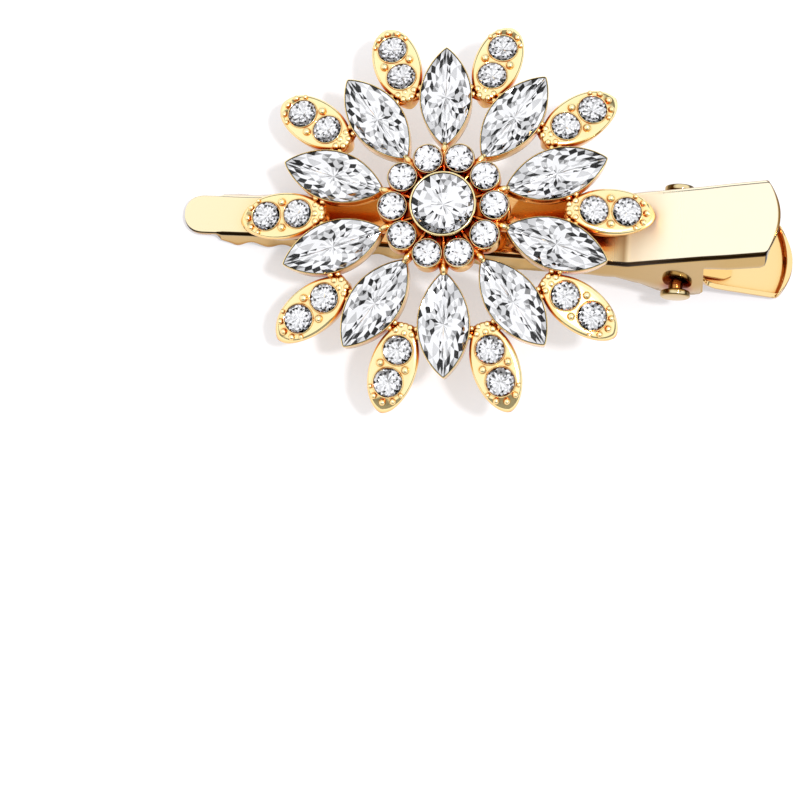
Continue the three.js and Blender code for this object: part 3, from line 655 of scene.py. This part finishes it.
# hub: floor ring, floor plate, post and the centre setting
v, f = ring_lathe([(3.9, -2.95), (6.9, -2.95), (7.15, -2.85), (7.25, -2.6), (7.25, -2.35), (7.15, -2.15), (6.9, -2.1), (3.9, -2.1)], 96)
put(v, f)
v, f = lathe([(0, -3.0), (6.4, -3.0), (6.6, -2.96), (6.6, -2.8), (0, -2.8)], 64)
put(v, f)
v, f = lathe([(0, 0.36 - FLOWER_Z), (2.1, 0.36 - FLOWER_Z), (2.2, 0.5 - FLOWER_Z), (2.2, -2.9), (0, -2.9)], 32)
put(v, f)
v, f = ring_lathe([(4.30, -2.3), (4.27, 0.6), (4.24, 0.9), (4.18, 1.02), (4.1, 1.06), (4.02, 1.03), (3.98, 0.96), (3.96, 0.85), (3.96, -2.3)], 96)
put(v, f)


def outline_leaf(n, grow, L=LEAF_LEN, W=LEAF_W, p=0.62):
    return outline_nav(n, grow, p, L, W)


def droop(x):
    return DROOP * np.maximum(0.0, (np.asarray(x, float) - 2.9) / 2.775) ** 2


def leaf_shell(n=80, hn=36):
    """One leaf with its two stone pockets: wall, rolled edge, plateau with two holes, pockets."""
    rings = []
    for z, g, s, d in [(-2.15, -0.05, 0.11, 0), (-2.08, 0.08, 0.108, 0), (-0.9, 0.27, 0.03, 0.6), (-0.58, 0.3, 0, 1), (-0.38, 0.27, 0, 1),
                       (-0.2, 0.17, 0, 1), (-0.08, 0.02, 0, 1), (-0.02, -0.18, 0, 1), (0.0, -0.42, 0, 1)]:
        o = outline_leaf(n, g)
        rings.append(np.column_stack([o, z + s * o[:, 0] - d * droop(o[:, 0])]))
    v = [tuple(p) for r in rings for p in r]
    f = []
    for k in range(len(rings) - 1):
        for i in range(n):
            a_, b_ = k * n + i, k * n + (i + 1) % n
            f.append([a_, b_, b_ + n, a_ + n])
    f.append(list(range(n))[::-1])
    top = list(range((len(rings) - 1) * n, len(rings) * n))
    loops = [[Vector((v[i][0], v[i][1], 0)) for i in top]]
    ids = list(top)
    pockets = []
    for r in LEAF_S:
        lx = (r - LEAF_MID) / math.cos(math.radians(LEAF_TILT))
        base = len(v)
        for i in range(hn):
            q = -2 * math.pi * i / hn
            x, y = lx + 1.84 * math.cos(q), 1.84 * math.sin(q)
            v.append((x, y, -float(droop(x))))
        ids += list(range(base, base + hn))
        loops.append([Vector((v[i][0], v[i][1], 0)) for i in range(base, base + hn)])
        low = len(v)
        for i in range(hn):
            v.append((v[base + i][0], v[base + i][1], -1.7))
        pockets.append((base, low))
    for t_ in mathutils.geometry.tessellate_polygon(loops):
        f.append([ids[i] for i in t_])
    for base, low in pockets:
        for i in range(hn):
            j = (i + 1) % hn
            f.append([base + i, base + j, low + j, low + i])
        f.append([low + i for i in range(hn)])
    return np.array(v), f


LEAF_V, LEAF_F = leaf_shell()
brng = np.random.RandomState(3)
for k in range(N):
    a, b = 36 * k, 36 * k + 18
    v, f = ring_lathe([(1.95, -2.4), (1.95, -0.14), (1.92, -0.04), (1.87, 0.02), (1.82, 0.02), (1.78, -0.04), (1.76, -0.14), (1.76, -2.4)], 40)
    put(v, f, RING_PITCH, 0, 0, a)
    # web in the notch between two ring settings, out to the navette's cup
    rings = []
    for x, hw, z0, z1 in [(4.3, 0.35, -2.4, -0.9), (5.6, 0.45, -2.4, -0.85), (6.9, 0.75, -2.9, -0.9), (7.8, 0.6, -3.0, -1.0), (8.7, 0.4, -3.0, -1.4)]:
        rings.append([(x, hw * c_, 0.5 * (z0 + z1) + 0.5 * (z1 - z0) * s_) for c_, s_ in [(math.cos(q) , math.sin(q)) for q in np.linspace(0, 2 * math.pi, 16, endpoint=False)]])
    v, f = loft(rings)
    put(v, f, 0, 0, 0, b)
    v, f = bead((0, 0, 0), 1.0, 20, 12)
    put(v * np.array([0.8, 0.42, 0.4]), f, 7.7, -1.3, 0, b)
    # navette cup: outer wall, thin rolled rim, inner wall, floor
    outer = [(-2.25, 0.02), (-2.12, 0.1), (-1.2, 0.15), (-0.15, 0.185), (0.02, 0.185), (0.1, 0.16), (0.13, 0.11), (0.1, 0.06), (0.02, 0.035), (-0.2, 0.02), (-0.5, 0.0), (-2.0, -0.5)]
    rings = shell(outer, outline_nav, 80)
    v, f = loft(rings)
    put(v, f, NAV_MID, NAV_Z, NAV_TILT, b)
    put(LEAF_V, LEAF_F, LEAF_MID, LEAF_Z, LEAF_TILT, a)
    lxs = []
    for r in LEAF_S:
        lx = (r - LEAF_MID) / math.cos(math.radians(LEAF_TILT))
        lxs.append(lx)
        v, f = ring_lathe([(2.03, -0.3), (2.03, 0.05), (2.0, 0.12), (1.94, 0.16), (1.89, 0.14), (1.855, 0.07), (1.845, -0.1), (1.845, -0.3)], 44)
        put(v + np.array([lx, 0, 0]), f, LEAF_MID, LEAF_Z, LEAF_TILT, a)
    mid = 0.5 * (lxs[0] + lxs[1])
    for sy in (-1, 1):
        v, f = bead((mid, sy * 1.68, 0.08), 0.52, 18, 10)
        put(v, f, LEAF_MID, LEAF_Z, LEAF_TILT, a)
    for q, d_, r in [(0, 2.62, 0.44), (31, 2.5, 0.42), (-31, 2.5, 0.42), (62, 2.36, 0.32), (-62, 2.36, 0.32)]:
        x, y = lxs[1] + d_ * math.cos(math.radians(q)), d_ * math.sin(math.radians(q))
        v, f = bead((x, y, 0.05 - float(droop(x))), r, 14, 8)
        put(v, f, LEAF_MID, LEAF_Z, LEAF_TILT, a)
    # bead cluster and web between the leaf and its two cups
    v, f = bead((0, 0, 0), 1.0, 20, 12)
    v = v * np.array([1.0, 2.6, 0.6]) + np.array([-4.9, 0, -1.05])
    put(v, f, LEAF_MID, LEAF_Z, LEAF_TILT, a)
    for x, y, r in [(-4.65, 0.15, 0.5), (-4.7, 1.15, 0.5), (-4.7, -1.0, 0.48), (-5.5, 0.65, 0.45), (-5.5, -0.5, 0.44), (-4.7, 2.05, 0.42), (-4.75, -1.95, 0.44), (-5.6, 1.5, 0.36), (-5.6, -1.4, 0.36)]:
        v, f = bead((x, y, -0.35 + 0.12 * brng.rand()), r, 14, 8)
        put(v, f, LEAF_MID, LEAF_Z, LEAF_TILT, a)

casting = cast.obj("flower_casting_gold", [MAT_CAST], "upper_half", "casting_gold", 50)
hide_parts("flower_casting")


# --------------------------------------------------------------- stones ----
def shade(r, weights):
    """One of the four foil copies (1 bright .. 4 near black) by weight, for painted facet light and shade."""
    q = r.rand() * sum(weights)
    for i, w_ in enumerate(weights):
        q -= w_
        if q < 0:
            return i + 1
    return 1


def brilliant(R, hc, pav, table, girdle, n, seed):
    """Round brilliant: table, stars, kites, girdle facets, foiled pavilion. Girdle top at z 0."""
    r = np.random.RandomState(seed)
    v, f, m = [], [], []
    hp = girdle + R * math.tan(math.radians(pav))
    st = math.pi / n
    T = [(table * R * math.cos(2 * st * i), table * R * math.sin(2 * st * i), hc) for i in range(n)]
    rs = 0.5 * (1 + table) * R * 1.02
    zs = hc * (R - rs * math.cos(st)) / (R - table * R)
    S = [(rs * math.cos(2 * st * i + st), rs * math.sin(2 * st * i + st), zs) for i in range(n)]
    G = [(R * math.cos(st * i), R * math.sin(st * i), 0.0) for i in range(2 * n)]
    H = [(x, y, -girdle) for x, y, _ in G]
    t, s, g, hh = 0, n, 2 * n, 4 * n
    v = T + S + G + H
    f.append(list(range(n))); m.append(0)
    for i in range(n):
        j = (i + 1) % n
        a_, b_, c_ = 2 * i, 2 * i + 1, (2 * i + 2) % (2 * n)
        for x in ([t + i, s + i, t + j], [t + i, s + (i - 1) % n, g + a_, s + i], [s + i, g + a_, g + b_], [s + i, g + b_, g + c_]):
            f.append(x); m.append(0)
    # girdle band facets take the light and mid grey foil copies: painted shade
    for i in range(2 * n):
        j = (i + 1) % (2 * n)
        f.append([g + i, hh + i, hh + j, g + j]); m.append(3 if i % 3 else 2)
    # pavilion: rings of small foiled facets, each given a bright, grey or black foil copy at random as painted facet
    # light and shade; corners shaken a little
    prev = hh
    for ti, rho in enumerate((0.80, 0.60, 0.38, 0.18)):
        base = len(v)
        off = 0.5 * ((ti + 1) % 2)
        for i in range(2 * n):
            q, ro = st * (i + off + 0.22 * (r.rand() - 0.5)), rho * R * (1 + 0.06 * (r.rand() - 0.5))
            v.append((ro * math.cos(q), ro * math.sin(q), -girdle - (hp - girdle) * (1 - rho) + 0.035 * R * (r.rand() - 0.5)))
        wt = ((0.46, 0.24, 0.16, 0.14), (0.50, 0.24, 0.12, 0.14), (0.66, 0.22, 0.06, 0.06), (0.80, 0.20, 0.0, 0.0))[ti]
        for i in range(2 * n):
            j = (i + 1) % (2 * n)
            if off:
                tr = ((prev + i, base + i, prev + j), (prev + j, base + i, base + j))
            else:
                tr = ((prev + i, base + i, base + j), (prev + i, base + j, prev + j))
            for x in tr:
                f.append(list(x)); m.append(shade(r, wt))
        prev = base
    c = len(v)
    v.append((0, 0, -hp))
    for i in range(2 * n):
        f.append([c, prev + (i + 1) % (2 * n), prev + i]); m.append(shade(r, (0.7, 0.3, 0.0, 0.0)))
    return np.array(v, float), f, m


def navette_cut(n=15, hc=0.85, table=0.48, seed=11):
    """Marquise cut: table, stars, kites and girdle facets over a shallow foiled pavilion of small facets."""
    r = np.random.RandomState(seed)
    st = math.pi / n
    par, out_ = np.linspace(0, 2 * math.pi, 1440, endpoint=False), outline_nav(1440, -0.01)

    def P(q, rho, z):
        q = q % (2 * math.pi)
        return (float(np.interp(q, par, out_[:, 0], period=2 * math.pi)) * rho, float(np.interp(q, par, out_[:, 1], period=2 * math.pi)) * rho, z)

    zs = hc * (1 - 0.76) / (1 - table) * 1.12
    v = [P(2 * st * i, table, hc) for i in range(n)]
    v += [P(2 * st * i + st, 0.76, zs) for i in range(n)]
    v += [P(st * i, 1, 0.0) for i in range(2 * n)]
    v += [P(st * i, 1, -0.1) for i in range(2 * n)]
    t, s, g, hh = 0, n, 2 * n, 4 * n
    f, m = [list(range(n))], [0]
    for i in range(n):
        j, k = (i + 1) % n, (i - 1) % n
        a_, b_, c_ = 2 * i, 2 * i + 1, (2 * i + 2) % (2 * n)
        for x in ((t + i, s + i, t + j), (t + i, s + k, g + a_), (t + i, g + a_, s + i), (s + i, g + a_, g + b_), (s + i, g + b_, g + c_)):
            f.append(list(x)); m.append(0)
    # girdle band facets alternate bright and mid grey foil copies: painted light and shade
    for i in range(2 * n):
        j = (i + 1) % (2 * n)
        for x in ((g + i, hh + i, hh + j), (g + i, hh + j, g + j)):
            f.append(list(x)); m.append(3 if i % 2 else 1)
    # pavilion: rings of facets, each given a bright, grey or black foil copy at random as painted facet light and
    # shade; corners shaken a little in height
    tiers = [(0.86, -0.15), (0.70, -0.22), (0.54, -0.29), (0.37, -0.36), (0.18, -0.42)]
    prev = hh
    for ti, (rho, z) in enumerate(tiers):
        base = len(v)
        for i in range(2 * n):
            v.append(P(st * (i + 0.5 * ((ti + 1) % 2)), rho * (1 + 0.04 * (r.rand() - 0.5)), z + 0.07 * (r.rand() - 0.5)))
        wt = [(0.40, 0.26, 0.14, 0.20), (0.42, 0.24, 0.13, 0.21), (0.46, 0.24, 0.11, 0.19), (0.50, 0.26, 0.10, 0.14), (0.60, 0.30, 0.04, 0.06)][ti]
        for i in range(2 * n):
            j = (i + 1) % (2 * n)
            if ti % 2 == 0:
                tr = ((prev + i, base + i, prev + j), (prev + j, base + i, base + j))
            else:
                tr = ((prev + i, base + i, base + j), (prev + i, base + j, prev + j))
            for x in tr:
                f.append(list(x)); m.append(shade(r, wt))
        prev = base
    c = len(v)
    v.append((0, 0, -0.45))
    for i in range(2 * n):
        f.append([c, prev + (i + 1) % (2 * n), prev + i]); m.append(shade(r, (0.6, 0.3, 0.1, 0.0)))
    return np.array(v, float), f, m


def stone(name, node, geo, r, z, tilt, ang, spin=0.0, dx=0.0, dz=0.0):
    v, f, m = geo
    v = v.copy()
    if spin:
        c, s = math.cos(spin), math.sin(spin)
        v = v @ np.array([[c, s, 0], [-s, c, 0], [0, 0, 1]])
    v = v + np.array([dx, 0, dz])
    b = Build()
    b.add(place(v, r, z, tilt, ang), f, m, False)
    o = b.obj(name, [MAT_GLASS] + MAT_FOIL_PAINTED_SHADES, "upper_half", "crystal", 0.5)
    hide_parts(node)
    return o


rng = np.random.RandomState(7)
BIG = brilliant(CENTRE_R, 0.95, 10.0, 0.53, 0.12, 14, 5)
SMALL = brilliant(RING_R, 0.5, 10.0, 0.54, 0.06, 10, 8)
LEAFS = brilliant(LEAF_R, 0.5, 10.0, 0.54, 0.06, 10, 21)
NAVS = navette_cut()
stone("centre_stone_cut", "centre_stone", BIG, 0, 0.95, 0, 0, 0.2)
for k in range(N):
    i = "%02d" % (k + 1)
    a = 36 * k
    stone("ring_stone_cut_" + i, "ring_stone_" + i, SMALL, RING_PITCH, 0.02, 0, a, rng.uniform(0, 0.78))
    stone("navette_stone_cut_" + i, "navette_stone_" + i, NAVS, NAV_MID, NAV_Z, NAV_TILT, a + 18)
    for nm, r in (("leaf_inner_stone_", LEAF_S[0]), ("leaf_outer_stone_", LEAF_S[1])):
        lx = (r - LEAF_MID) / math.cos(math.radians(LEAF_TILT))
        stone(nm.replace("stone_", "stone_cut_") + i, nm + i, LEAFS, LEAF_MID, LEAF_Z, LEAF_TILT, a, rng.uniform(0, 0.78), lx, 0.08)

# ------------------------------------------------------------- bond pad ----
v, f = lathe([(0, 0.02), (2.75, 0.02), (2.88, 0.08), (2.88, 0.18), (2.7, 0.28), (2.3, 0.32), (0, 0.32)], 48)
m = bpy.data.materials.new("bond_resin")
m.use_nodes = True
nt = m.node_tree
bs = nt.nodes["Principled BSDF"]
bs.inputs["Roughness"].default_value = 0.35
tcn = nt.nodes.new("ShaderNodeTexCoord")
nz = nt.nodes.new("ShaderNodeTexNoise")
nz.inputs["Scale"].default_value = 900
rp_ = nt.nodes.new("ShaderNodeValToRGB")
rp_.color_ramp.elements[0].color = (0.45, 0.43, 0.38, 1)
rp_.color_ramp.elements[1].color = (0.60, 0.58, 0.53, 1)
nt.links.new(tcn.outputs["Object"], nz.inputs["Vector"])
nt.links.new(nz.outputs["Fac"], rp_.inputs["Fac"])
nt.links.new(rp_.outputs["Color"], bs.inputs["Base Color"])
pad = Build().add(v, f).obj("bond_pad_resin", [m], "upper_half", "bond", 50)
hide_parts("bond_pad")

# ---------------------------------------------------------------- stage ----
me = bpy.data.meshes.new("floor")
bm = bmesh.new()
bmesh.ops.create_grid(bm, x_segments=8, y_segments=8, size=3.0)
bm.to_mesh(me)
bm.free()
floor = bpy.data.objects.new("floor", me)
bpy.context.scene.collection.objects.link(floor)
fm = bpy.data.materials.new("floor_pale")
fm.use_nodes = True
nt = fm.node_tree
bs = nt.nodes["Principled BSDF"]
bs.inputs["Roughness"].default_value = 0.9
bs.inputs["Specular IOR Level"].default_value = 0.1
bs.inputs["Emission Color"].default_value = (0.975, 0.985, 1.0, 1)
bs.inputs["Emission Strength"].default_value = 0.46
tcn = nt.nodes.new("ShaderNodeTexCoord")
nz = nt.nodes.new("ShaderNodeTexNoise")
nz.inputs["Scale"].default_value = 40
rp_ = nt.nodes.new("ShaderNodeValToRGB")
rp_.color_ramp.elements[0].color = (0.535, 0.53, 0.545, 1)
rp_.color_ramp.elements[1].color = (0.555, 0.55, 0.565, 1)
nt.links.new(tcn.outputs["Object"], nz.inputs["Vector"])
nt.links.new(nz.outputs["Fac"], rp_.inputs["Fac"])
nt.links.new(rp_.outputs["Color"], bs.inputs["Base Color"])
me.materials.append(fm)

sc = bpy.context.scene
sc.view_settings.view_transform = "Standard"
sc.view_settings.look = "None"
sc.view_settings.exposure = 0.0
sc.view_settings.gamma = 1.0

# world: a white dome over a dark band at the horizon, the band taller on the near side
w = bpy.data.worlds.new("studio")
w.use_nodes = True
sc.world = w
nt = w.node_tree
bg = nt.nodes["Background"]
tcn = nt.nodes.new("ShaderNodeTexCoord")
sx = nt.nodes.new("ShaderNodeSeparateXYZ")
nt.links.new(tcn.outputs["Generated"], sx.inputs["Vector"])


def math_node(op, a_, b_, c_=None):
    n_ = nt.nodes.new("ShaderNodeMath")
    n_.operation = op
    for i_, x_ in enumerate((a_, b_, c_)):
        if x_ is None:
            continue
        if isinstance(x_, (int, float)):
            n_.inputs[i_].default_value = x_
        else:
            nt.links.new(x_, n_.inputs[i_])
    return n_.outputs[0]


absx = math_node("ABSOLUTE", sx.outputs["X"], None)
near = math_node("MULTIPLY_ADD", sx.outputs["Y"], -1.0, -0.42)
near = math_node("MULTIPLY_ADD", absx, -0.5, near)
near = math_node("MAXIMUM", near, 0.0)
up_ = math_node("MULTIPLY_ADD", near, -2.4, sx.outputs["Z"])
left = math_node("MAXIMUM", math_node("MULTIPLY_ADD", sx.outputs["X"], -1.0, -0.5), 0.0)
up_ = math_node("MULTIPLY_ADD", left, 0.5, up_)
col = ramp(nt, up_, [(0.0, (0.30, 0.29, 0.28)), (0.12, (0.24, 0.23, 0.22)), (0.28, (0.17, 0.17, 0.17)), (0.34, (0.50, 0.50, 0.50)), (0.40, (1.0, 1.0, 1.0)), (0.6, (0.98, 0.98, 0.98)), (1.0, (0.90, 0.90, 0.90))])
nt.links.new(col, bg.inputs["Color"])
bg.inputs["Strength"].default_value = 1.15

sl = bpy.data.lights.new("key", "SUN")
sl.energy = 1.6
sl.angle = math.radians(6)
so = bpy.data.objects.new("key", sl)
sc.collection.objects.link(so)
so.rotation_euler = Vector((-0.22, 0.13, -1.0)).to_track_quat("-Z", "Y").to_euler()

# --------------------------------------------------------------- camera ----
CAM_C = (40.594510589702665, -111.54609264188406, 416.2956851252962 + FLOWER_Z)
CAM_R = np.array([[0.9938133278680547, 0.06154614520034011, -0.09245075101264044],
                  [-0.04144397156504976, 0.97779446632028, 0.2054273079567431],
                  [0.1030410916709345, -0.20032487025933127, 0.974295889236347]])
cam = bpy.data.cameras.new("camera")
cam.sensor_fit = "HORIZONTAL"
cam.sensor_width = 36.0
cam.lens = 3419.819962973099 * 36.0 / 807.0
cam.clip_start, cam.clip_end = 0.01, 20
co = bpy.data.objects.new("camera", cam)
sc.collection.objects.link(co)
Rr = CAM_R @ M3.T
mw = Matrix.Identity(4)
for i in range(3):
    for j in range(3):
        mw[i][j] = Rr[j][i]
pc = row(CAM_C)
mw[0][3], mw[1][3], mw[2][3] = pc
co.matrix_world = mw
sc.camera = co
